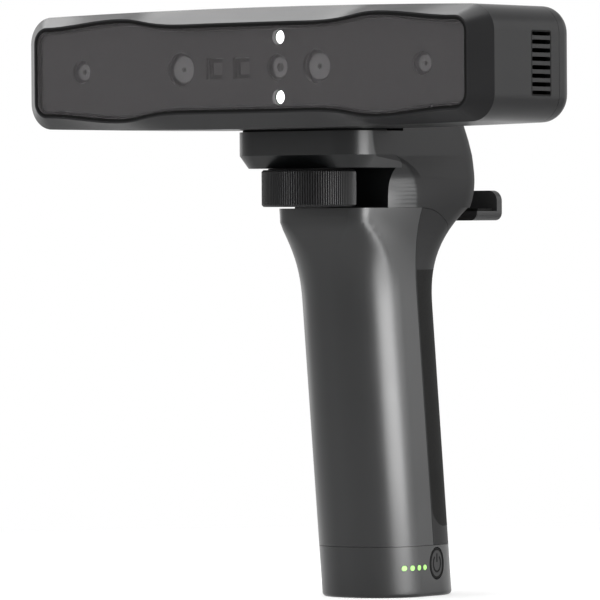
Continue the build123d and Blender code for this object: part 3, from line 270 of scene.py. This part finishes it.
def shifted(loop, inwards):
    """A closed loop of plane points moved inwards by the same distance all along: each point moves at
    a right angle to the line between its two neighbours. The sign of the loop's area says which way
    is inwards."""
    ahead, behind = np.roll(loop, -1, axis=0), np.roll(loop, 1, axis=0)
    along = ahead - behind
    along = along / np.linalg.norm(along, axis=1, keepdims=True)
    turn = np.sum(loop[:, 0] * ahead[:, 1] - ahead[:, 0] * loop[:, 1])
    return loop + math.copysign(inwards, turn) * np.stack([-along[:, 1], along[:, 0]], -1)


def band(outer, inner, place):
    """A flat closed band between two loops: four rows of corners, joined round. place(points, depth)
    gives a row in space, with depth 1 for the face that shows and 0 for the one sunk in the surface."""
    rows = np.stack([place(outer, 0), place(outer, 1), place(inner, 1), place(inner, 0)])
    return rows, grid_faces(len(rows), len(outer), round_rows=True, round_columns=True)


def strip(outer, inner, place):
    """A flat closed strip between two open lines of points: a band with a face over each end."""
    rows = np.stack([place(outer, 0), place(outer, 1), place(inner, 1), place(inner, 0)])
    count = len(outer)
    start = np.arange(len(rows)) * count
    caps = np.stack([start[::-1], start + count - 1])
    return rows, np.concatenate([grid_faces(len(rows), count, round_rows=True), caps])


def joined(name, *parts):
    """One mesh from several grids of corners and their faces."""
    corners, faces, count = [], [], 0
    for rows, quads in parts:
        corners.append(rows.reshape(-1, 3))
        faces.append(quads + count)
        count += corners[-1].shape[0]
    return tidy(mesh_from(name, np.concatenate(corners), np.concatenate(faces)))


def circle(radius, count, arc=None):
    """Points of a circle, cosine and sine times the radius, or of an arc with both its end angles."""
    start, end = arc or (0.0, 2 * math.pi)
    angle = np.linspace(start, end, count, endpoint=arc is not None)
    return radius * np.stack([np.cos(angle), np.sin(angle)], -1)


# Finishes


# Cells per metre of the soft clouds and the fine grain in coats and mouldings
CLOUDS = 38.0
GRAINS = 2600.0


class Signal:
    """A shader socket that adds a Math node whenever it is worked with as a number."""

    def __init__(self, finish, socket):
        self.finish = finish
        self.socket = socket

    def worked(self, operation, first, second):
        node = self.finish.node("ShaderNodeMath", {"operation": operation}, {0: first, 1: second})
        return Signal(self.finish, node.outputs[0])

    def __add__(self, other):
        return self.worked("ADD", self, other)

    def __radd__(self, other):
        return self.worked("ADD", other, self)

    def __sub__(self, other):
        return self.worked("SUBTRACT", self, other)

    def __rsub__(self, other):
        return self.worked("SUBTRACT", other, self)

    def __mul__(self, other):
        return self.worked("MULTIPLY", self, other)

    def __rmul__(self, other):
        return self.worked("MULTIPLY", other, self)


class Finish:
    """A material with one shader, and the one way here to add any other node."""

    def __init__(self, name, **sockets):
        self.material = bpy.data.materials.new(name)
        self.material.use_nodes = True
        self.tree = self.material.node_tree
        self.shader = self.tree.nodes["Principled BSDF"]
        for socket, value in sockets.items():
            self.shader.inputs[socket.replace("_", " ")].default_value = value

    def node(self, kind, choices=None, values=None):
        """Adds a node with its own settings first and then the values or links of its sockets."""
        made = self.tree.nodes.new(kind)
        for name, value in (choices or {}).items():
            setattr(made, name, value)
        for name, value in (values or {}).items():
            self.feed(made.inputs[name], value)
        return made

    def feed(self, socket, value):
        """Sets any socket to a number or a colour, or links it to a node's socket."""
        source = value.socket if isinstance(value, Signal) else value
        if isinstance(source, bpy.types.NodeSocket):
            self.tree.links.new(source, socket)
        else:
            socket.default_value = source

    def place(self):
        """The place on the piece, in metres."""
        return self.node("ShaderNodeTexCoord").outputs["Object"]

    def noise(self, scale, detail=2.0):
        """Smooth random height from 0 to 1, its scale in cells per metre."""
        values = {"Vector": self.place(), "Scale": scale, "Detail": detail}
        return Signal(self, self.node("ShaderNodeTexNoise", None, values).outputs["Fac"])

    def cells(self, scale):
        """Distance to the nearest of many scattered points, about 0 to 1."""
        values = {"Vector": self.place(), "Scale": scale}
        return Signal(self, self.node("ShaderNodeTexVoronoi", None, values).outputs["Distance"])

    def mixed(self, factor, first, second):
        """A colour between two colours."""
        values = {0: factor, 6: first, 7: second}
        return self.node("ShaderNodeMix", {"data_type": "RGBA"}, values).outputs[2]

    def clouded(self, factor, colour, spread=0.08):
        """A colour that runs from a little darker to a little lighter."""
        return self.mixed(factor, shade(colour, 1 - spread), shade(colour, 1 + spread))

    def bump(self, height, distance):
        """Fine relief, where a height of 1 stands out by the distance."""
        values = {"Height": height, "Distance": distance, "Strength": 1.0}
        self.feed(self.shader.inputs["Normal"], self.node("ShaderNodeBump", None, values).outputs["Normal"])

    def vary(self, socket, value):
        """Sets one of the shader's sockets to a value or to what a node gives."""
        self.feed(self.shader.inputs[socket], value)


def shade(colour, share):
    """A colour made lighter or darker by a share."""
    return (*(channel * share for channel in colour[:3]), 1.0)


def satin(name, colour, roughness, grain=0.004 * MM, **sockets):
    """Sprayed or moulded satin surface: faint cloudy colour, fine grain and uneven gloss."""
    finish = Finish(name, **sockets)
    cloud, fine = finish.noise(CLOUDS, 3.0), finish.noise(GRAINS)
    finish.vary("Base Color", finish.clouded(cloud, colour))
    finish.vary("Roughness", roughness + (cloud - 0.5) * 0.10 + (fine - 0.5) * 0.08)
    finish.bump(fine, grain)
    return finish.material


def two_part(name, front, rear, line, blend=1.2 * MM):
    """Satin front and matte rear on one moulding. line is (Z, Y) points where the two meet, and they
    run into each other over the blend."""
    finish = Finish(name, Specular_IOR_Level=0.12, Coat_Roughness=0.30)
    place = finish.node("ShaderNodeSeparateXYZ", None, {"Vector": finish.place()})
    low, high = line[0][0], line[-1][0]
    share = finish.node("ShaderNodeMapRange", None, {
        "Value": place.outputs["Z"], "From Min": low, "From Max": high})
    curve = finish.node("ShaderNodeFloatCurve", None, {"Value": share.outputs["Result"]})
    depths = [y for z, y in line]
    near, far = min(depths), max(depths)
    points = curve.mapping.curves[0].points
    for z, y in line[1:-1]:
        points.new((z - low) / (high - low), (y - near) / (far - near))
    points[0].location.y = (depths[0] - near) / (far - near)
    points[len(points) - 1].location.y = (depths[-1] - near) / (far - near)
    curve.mapping.update()
    meeting = Signal(finish, curve.outputs["Value"]) * (far - near) + near
    behind = (Signal(finish, place.outputs["Y"]) - meeting) * (1 / blend) + 0.5
    behind = Signal(finish, finish.node("ShaderNodeClamp", None, {"Value": behind}).outputs["Result"])
    cloud, fine = finish.noise(CLOUDS, 3.0), finish.noise(GRAINS)
    coats = finish.clouded(cloud, front), finish.clouded(cloud, rear)
    finish.vary("Base Color", finish.mixed(behind, *coats))
    finish.vary("Roughness", 0.40 + behind * 0.12 + (fine - 0.5) * 0.08)
    finish.vary("Coat Weight", (1 - behind) * 0.34)
    finish.bump(fine, 0.006 * MM)
    return finish.material


def pebbled(name, colour):
    """Rubber with a fine pebble grain. Its colour is painted paler on the pebbles' tops and darker in the
    hollows between them, as painted light and shade, with a little random tone.
    """
    finish = Finish(name, Specular_IOR_Level=0.06)
    pebbles = finish.cells(1100.0)
    cloud = finish.noise(60.0, 3.0)
    # Painted light and shade: the pebbles' raised middles are painted paler and the hollows between them
    # darker, with a share of random cloudy tone mixed in.
    uneven = pebbles * 0.7 + cloud * 0.3
    finish.vary("Base Color", finish.mixed(uneven, shade(colour, 1.25), shade(colour, 0.75)))
    finish.vary("Roughness", 0.72 + (cloud - 0.5) * 0.12)
    finish.bump(1 - pebbles, 0.05 * MM)
    return finish.material


def metal(name, colour, roughness):
    """Bare or blackened metal with fine marks."""
    finish = Finish(name, Metallic=1.0)
    marks = finish.noise(900.0, 4.0)
    finish.vary("Base Color", finish.clouded(marks, colour, 0.1))
    finish.vary("Roughness", roughness + (marks - 0.5) * 0.12)
    finish.bump(marks, 0.003 * MM)
    return finish.material


def lamp(name, colour, strength):
    """Diffuser lit from within, in a faintly cloudy colour."""
    finish = Finish(name, Roughness=0.3, Emission_Strength=strength)
    cloud = finish.noise(300.0)
    finish.vary("Emission Color", finish.mixed(cloud, colour, shade(colour, 0.92)))
    finish.vary("Base Color", finish.mixed(cloud, colour, shade(colour, 0.8)))
    return finish.material


def glass(name, colour, alpha, roughness):
    """Tinted clear sheet that shows a little of what lies behind it."""
    finish = Finish(name, Roughness=roughness, Alpha=alpha, IOR=1.49)
    finish.vary("Base Color", finish.clouded(finish.noise(25.0), colour, 0.05))
    return finish.material


# Where the saddle's satin front meets its matte sides: (Z, Y), from low to high
CREASE = ((0.1270, -0.0114), (0.1338, -0.0115), (0.1386, -0.0123), (0.1427, -0.0136), (0.1467, -0.0147),
          (0.1512, -0.0157), (0.1551, -0.0174), (0.1593, -0.0217), (0.1618, -0.0274), (0.1627, -0.0336),
          (0.1634, -0.0395), (0.1645, -0.0450), (0.1864, -0.0450))
# Part of a node's name, and the finish that it has instead of its slot's
OTHERWISE = (("mask", "mask"), ("camera", "barrel"), ("glasses", "pane"), ("washer", "ink"))
# The finishes made so far
MADE = {}


def finishes():
    """Every finish by the record's slot name, made once."""
    colours = settings().colours
    if not MADE:
        MADE.update({
            "head_shell": satin("head satin coat", colours.head, 0.32, Specular_IOR_Level=0.11),
            "tinted_window": glass("window tint", colours.window, 0.45, 0.10),
            "seal": satin("seal rubber", (0.003, 0.003, 0.003, 1.0), 0.7, Specular_IOR_Level=0.05),
            "black_plastic": satin("black moulding", (0.014, 0.014, 0.0145, 1.0), 0.5,
                                   Specular_IOR_Level=0.2),
            "glass": glass("lens glass", (0.05, 0.05, 0.07, 1.0), 0.55, 0.04),
            "board": satin("board lacquer", (0.01, 0.075, 0.03, 1.0), 0.35),
            "white_light": lamp("white light", WHITE, 9.0),
            "green_light": lamp("green light", (0.40, 0.82, 0.20, 1.0), 0.55),
            "aluminium": metal("cast aluminium", (0.62, 0.63, 0.65, 1.0), 0.38),
            "brass": metal("turned brass", (0.70, 0.46, 0.18, 1.0), 0.3),
            "steel": metal("blackened steel", (0.16, 0.16, 0.165, 1.0), 0.36),
            "wheel_metal": satin("wheel anodising", colours.wheel, 0.40, Specular_IOR_Level=0.15),
            "grip_shell": satin("grip satin coat", colours.grip, 0.33, Specular_IOR_Level=0.47),
            "grip_side": satin("grip matte moulding", colours.side, 0.5, grain=0.012 * MM,
                               Specular_IOR_Level=0.12),
            "rubber": pebbled("pad rubber", colours.rubber),
            "cell_wrap": satin("cell wrap", (0.02, 0.09, 0.30, 1.0), 0.4),
            "cradle": satin("cradle moulding", (0.05, 0.05, 0.05, 1.0), 0.55),
            "saddle": two_part("saddle coat", colours.grip, colours.side, CREASE),
            "mask": satin("mask moulding", (0.10, 0.098, 0.10, 1.0), 0.6, Specular_IOR_Level=0.2),
            "barrel": satin("camera barrel", (0.62, 0.61, 0.62, 1.0), 0.5),
            "pane": satin("projector pane", (0.22, 0.21, 0.21, 1.0), 0.3),
            "ink": satin("printed ink", (0.002, 0.002, 0.002, 1.0), 0.6, Specular_IOR_Level=0.05),
        })
    return MADE


# Light


def seen_white(tree, base, extra):
    """A number that is base for light on the scene, and base + extra for what the camera, gloss and
    glass see."""
    rays = tree.nodes.new("ShaderNodeLightPath")
    seen = rays.outputs["Is Camera Ray"]
    for ray in ("Is Glossy Ray", "Is Transmission Ray"):
        larger = tree.nodes.new("ShaderNodeMath")
        larger.operation = "MAXIMUM"
        tree.links.new(seen, larger.inputs[0])
        tree.links.new(rays.outputs[ray], larger.inputs[1])
        seen = larger.outputs[0]
    scaled = tree.nodes.new("ShaderNodeMath")
    scaled.operation = "MULTIPLY_ADD"
    tree.links.new(seen, scaled.inputs[0])
    scaled.inputs[1].default_value = extra
    scaled.inputs[2].default_value = base
    return scaled.outputs[0]


class SoftBox(NamedTuple):
    """A lamp that faces the scanner. Its azimuth and rise are in degrees, and one that doesn't light
    the scene shows in gloss alone."""

    name: str
    azimuth: float
    rise: float
    distance: float
    width: float
    height: float
    radiance: float
    lights: bool


LAMPS = (
    SoftBox("right strip", 89.0, 2.0, 1.3, 0.85, 1.4, 20.0, False),
    SoftBox("side strip", 122.0, 2.0, 1.3, 0.55, 1.4, 4.0, False),
    SoftBox("bevel strip", -90.0, 52.0, 1.2, 0.80, 0.8, 9.0, False),
    SoftBox("low strip", 88.0, -22.0, 0.30, 0.22, 0.14, 10.0, False),
    SoftBox("right box", 80.0, 10.0, 1.5, 0.80, 1.0, 0.9, True),
    SoftBox("rear right box", 154.0, 10.0, 1.3, 0.50, 0.9, 1.5, True),
    SoftBox("rear left box", -105.0, 5.0, 1.3, 0.50, 1.0, 1.0, True),
    SoftBox("top box", 0.0, 80.0, 1.3, 1.20, 1.2, 8.0, True),
    SoftBox("front left box", -35.0, 35.0, 1.5, 1.00, 1.0, 3.2, True),
)


def towards(azimuth, rise):
    """The direction at an azimuth, from the front and round to the right, and a rise."""
    return Vector((math.sin(azimuth) * math.cos(rise), -math.cos(azimuth) * math.cos(rise), math.sin(rise)))


# Operators


class SCANNER_OT_camera(bpy.types.Operator):
    """Stand the camera where the scanner's front, right side and underside show"""

    bl_idname = "scanner.camera"
    bl_label = "Camera"

    def execute(self, context):
        values = settings().camera
        back = towards(values.azimuth, values.elevation)
        right = Vector((math.cos(values.azimuth), math.sin(values.azimuth), 0))
        aim = right * values.aim_right + Vector((0, 0, values.aim_height))
        data = bpy.data.cameras.new("camera")
        data.lens = data.sensor_width * values.distance / values.scale
        data.clip_start, data.clip_end = 0.05, 60.0
        camera = bpy.data.objects.new("camera", data)
        context.scene.collection.objects.link(camera)
        camera.rotation_mode = "QUATERNION"
        camera.location = aim + back * values.distance
        facing = (-back).to_track_quat("-Z", "Y")
        camera.rotation_quaternion = facing @ Matrix.Rotation(values.roll, 3, "Z").to_quaternion()
        context.scene.camera = camera
        return {"FINISHED"}


class SCANNER_OT_head(bpy.types.Operator):
    """Cover the head with its front frame, body shell and rear cover"""

    bl_idname = "scanner.head"
    bl_label = "Head"

    def execute(self, context):
        coat = finishes()["head_shell"]
        skin("head_front_frame", "head_rim", "scanner", "head_shell", coat)
        skin("head_body_shell", "head_sleeve", "scanner", "head_shell", coat)
        skin("head_rear_cover", "head_back", "scanner", "head_shell", coat)
        return {"FINISHED"}


class SCANNER_OT_window(bpy.types.Operator):
    """Close the head with its tinted window and seal"""

    bl_idname = "scanner.window"
    bl_label = "Window"

    def execute(self, context):
        skin("front_window", "window_sheet", "scanner", "tinted_window", finishes()["tinted_window"])
        skin("window_seal", "window_gasket", "scanner", "seal", finishes()["seal"])
        rim, front = outline("front_window")
        sizes = settings().sizes

        def place(points, depth):
            y = front + SUNK - depth * (SUNK + sizes.print_height)
            return np.stack([points[:, 0], np.full(len(points), y), points[:, 1]], -1)

        border = band(rim, shifted(rim, sizes.border), place)
        piece("window_border", joined("window_border", border), "scanner", "seal", finishes()["ink"])
        return {"FINISHED"}


class SCANNER_OT_grip(bpy.types.Operator):
    """Cover the grip and the saddle"""

    bl_idname = "scanner.grip"
    bl_label = "Grip"

    def execute(self, context):
        skin("grip_front_shell", "grip_front", "scanner", "grip_shell", finishes()["grip_shell"])
        skin("grip_rear_shell", "grip_rear", "scanner", "grip_shell", finishes()["grip_side"])
        skin("saddle_housing", "saddle", "scanner", "grip_shell", finishes()["saddle"])
        skin("grip_pad", "grip_rubber", "scanner", "rubber", finishes()["rubber"])
        skin("base_cap", "base", "scanner", "grip_shell", finishes()["grip_shell"])
        return {"FINISHED"}


class SCANNER_OT_wheel(bpy.types.Operator):
    """Turn the clamping wheel with its upright grooves"""

    bl_idname = "scanner.wheel"
    bl_label = "Wheel"

    def execute(self, context):
        low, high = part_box("clamp_wheel")
        stud_low, stud_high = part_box("clamp_stud")
        sizes = settings().sizes
        radius, centre = (high[0] - low[0]) / 2, ((low[0] + high[0]) / 2, (low[1] + high[1]) / 2)
        bore = (stud_high[0] - stud_low[0]) / 2
        edge = sizes.wheel_edge
        profile = ((bore, low[2]), (radius - edge, low[2]), (radius, low[2] + edge),
                   (radius, high[2] - edge), (radius - edge, high[2]), (bore, high[2]))
        grooved = np.array([[r == radius] for r, z in profile])
        columns = COLUMNS_PER_GROOVE * sizes.grooves

        def ripple(angle):
            """Narrow upright grooves: a squared wave round the wheel, on its outermost rows alone."""
            wave = 0.5 - 0.5 * np.cos(sizes.grooves * angle)
            return sizes.groove_depth * wave ** 2 * grooved

        rows = turned(profile, centre, columns, ripple)
        wheel = joined("knurled_wheel", (rows, grid_faces(len(profile), columns, True, True)))
        piece("knurled_wheel", wheel, "wheel", "wheel_metal", finishes()["wheel_metal"], "clamp_wheel")
        return {"FINISHED"}


class SCANNER_OT_marks(bpy.types.Operator):
    """Print the power symbol and its ring, and the dark frames round the side vents"""

    bl_idname = "scanner.marks"
    bl_label = "Marks"

    def execute(self, context):
        self.power_mark()
        for side, name in ((1, "right_vent_frame"), (-1, "left_vent_frame")):
            self.vent_frame(side, name)
        return {"FINISHED"}

    def power_mark(self):
        """The usual ring with an upright bar, and a dark oval round it."""
        sizes = settings().sizes
        low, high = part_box("power_button")
        middle = [(first + last) / 2 for first, last in zip(low, high)]

        def place(points, depth):
            x = high[0] - SUNK + depth * (SUNK + sizes.print_height)
            y, z = middle[1] + points[:, 0], middle[2] + points[:, 1]
            return np.stack([np.full(len(points), x), y, z], -1)

        line = sizes.symbol_line
        top = math.pi / 2
        oval = np.array([sizes.symbol_wide, sizes.symbol_tall])
        bow = circle(1.0, SYMBOL_POINTS, (top + sizes.symbol_gap, top + 2 * math.pi - sizes.symbol_gap))
        bar = np.array([[line / 2, share * sizes.symbol_tall] for share in (sizes.bar_low, sizes.bar_high)])
        reach = np.array([high[1] - low[1], high[2] - low[2]]) / 2 - sizes.button_flange
        rim = circle(1.0, RING_POINTS)
        mark = joined(
            "power_mark",
            strip(bow * (oval + line / 2), bow * (oval - line / 2), place),
            strip(bar, bar * (-1, 1), place),
            band(rim * reach, rim * (reach - line), place),
        )
        piece("power_mark", mark, "power_key", "black_plastic", finishes()["ink"])

    def vent_frame(self, side, name):
        """A thin dark frame round the eight slots in an end of the head."""
        sizes = settings().sizes
        low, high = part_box("head_body_shell")
        middle = (low[2] + high[2]) / 2

        def place(points, depth):
            x = side * (high[0] - SUNK + depth * (SUNK + sizes.print_height))
            return np.stack([np.full(len(points), x), points[:, 0], middle + points[:, 1]], -1)

        def loop(front, rear, half, corner):
            """A rectangle with round corners, from its upper rear corner round."""
            turns = np.split(circle(corner, FRAME_POINTS), 4)
            ys, zs = (rear - corner, front + corner), (half - corner, corner - half)
            corners = ((ys[0], zs[0]), (ys[1], zs[0]), (ys[1], zs[1]), (ys[0], zs[1]))
            return np.concatenate([turn + np.array(centre) for turn, centre in zip(turns, corners)])

        outer = loop(sizes.vent_front, sizes.vent_rear, sizes.vent_half, sizes.vent_corner)
        inner = loop(sizes.vent_front + sizes.vent_line, sizes.vent_rear - sizes.vent_line,
                     sizes.vent_half - sizes.vent_line, sizes.vent_corner / 2)
        frame_mesh = joined(name, band(outer, inner, place))
        piece(name, frame_mesh, "scanner", "black_plastic", finishes()["ink"])


class SCANNER_OT_rest(bpy.types.Operator):
    """Give every other frame node its finish"""

    bl_idname = "scanner.rest"
    bl_label = "Inner pieces"

    def execute(self, context):
        slots = {row["node"]: row["material_slot"] for row in frame["record"]["subparts"]}
        for name, node in frame["nodes"].items():
            if node.hide_render:
                continue
            node.data.materials.clear()
            kind = next((kind for part, kind in OTHERWISE if part in name), slots[name])
            node.data.materials.append(finishes()[kind])
        return {"FINISHED"}


class SCANNER_OT_stage(bpy.types.Operator):
    """Lay the pale floor and set the soft studio light"""

    bl_idname = "scanner.stage"
    bl_label = "Stage"

    def execute(self, context):
        scene = context.scene
        scene.view_settings.view_transform = "Standard"
        self.light_world(scene)
        self.lay_floor(scene)
        for box in LAMPS:
            self.hang_lamp(scene, box)
        return {"FINISHED"}

    def light_world(self, scene):
        """White for what the camera, gloss and glass see; a plain level for the light it gives."""
        world = bpy.data.worlds.new("studio")
        scene.world = world
        world.use_nodes = True
        tree = world.node_tree
        background = tree.nodes["Background"]
        level = settings().studio.level
        tree.links.new(seen_white(tree, level, 1 - level), background.inputs["Strength"])
        background.inputs["Color"].default_value = WHITE

    def lay_floor(self, scene):
        """A pale floor that keeps the shadow near the foot and runs out into the white behind."""
        studio = settings().studio
        corners = studio.reach * np.array([[-1, -1, 0], [1, -1, 0], [1, 1, 0], [-1, 1, 0]])
        floor = bpy.data.objects.new("floor", mesh_from("floor", corners, np.array([[0, 1, 2, 3]])))
        scene.collection.objects.link(floor)
        ground = Finish("pale floor", Roughness=0.9)
        ground.vary("Base Color", (0.88, 0.88, 0.88, 1.0))
        glow = ground.node("ShaderNodeEmission", None, {"Color": WHITE, "Strength": 1.0})
        reached = ground.node("ShaderNodeVectorMath", {"operation": "LENGTH"}, {0: ground.place()})
        fade = ground.node("ShaderNodeMapRange", {"interpolation_type": "SMOOTHSTEP"}, {
            "Value": reached.outputs["Value"], "From Min": studio.fade_near, "From Max": studio.fade_far,
            "To Min": studio.least_white, "To Max": 1.0})
        white = Signal(ground, seen_white(ground.tree, 0.0, 1.0)) * Signal(ground, fade.outputs["Result"])
        mix = ground.node("ShaderNodeMixShader", None, {
            0: white, 1: ground.shader.outputs["BSDF"], 2: glow.outputs["Emission"]})
        ground.feed(ground.tree.nodes["Material Output"].inputs["Surface"], mix.outputs[0])
        floor.data.materials.append(ground.material)

    def hang_lamp(self, scene, box):
        """Hangs a soft box that faces the scanner."""
        data = bpy.data.lights.new(box.name, "AREA")
        data.shape = "RECTANGLE"
        data.size, data.size_y = box.width, box.height
        data.energy = box.radiance * math.pi * box.width * box.height
        away = towards(math.radians(box.azimuth), math.radians(box.rise))
        hung = bpy.data.objects.new(box.name, data)
        hung.location = Vector((0, 0, settings().studio.aim)) + away * box.distance
        hung.rotation_mode = "QUATERNION"
        hung.rotation_quaternion = (-away).to_track_quat("-Z", "Y")
        hung.visible_diffuse = box.lights
        scene.collection.objects.link(hung)


class ScannerSettings(bpy.types.PropertyGroup):
    """All the settings of the scanner."""

    camera: PointerProperty(type=ScannerCamera)
    sizes: PointerProperty(type=ScannerSizes)
    studio: PointerProperty(type=ScannerStudio)
    colours: PointerProperty(type=ScannerColours)


class SCANNER_PT_panel(bpy.types.Panel):
    """Lists the steps that dress the scanner"""

    bl_label = "Scanner"
    bl_idname = "SCANNER_PT_panel"
    bl_space_type = "VIEW_3D"
    bl_region_type = "UI"
    bl_category = "Scanner"

    def draw(self, context):
        for step in STEPS:
            self.layout.operator(step.bl_idname)


STEPS = (SCANNER_OT_camera, SCANNER_OT_head, SCANNER_OT_window, SCANNER_OT_grip, SCANNER_OT_wheel,
         SCANNER_OT_marks, SCANNER_OT_rest, SCANNER_OT_stage)
CLASSES = (ScannerCamera, ScannerSizes, ScannerStudio, ScannerColours, ScannerSettings, *STEPS,
           SCANNER_PT_panel)


def register():
    for kind in CLASSES:
        bpy.utils.register_class(kind)
    bpy.types.Scene.scanner = PointerProperty(type=ScannerSettings)


def unregister():
    del bpy.types.Scene.scanner
    for kind in reversed(CLASSES):
        bpy.utils.unregister_class(kind)


def main():
    register()
    for step in STEPS:
        group, action = step.bl_idname.split(".")
        getattr(getattr(bpy.ops, group), action)()


if __name__ == "__main__":
    main()
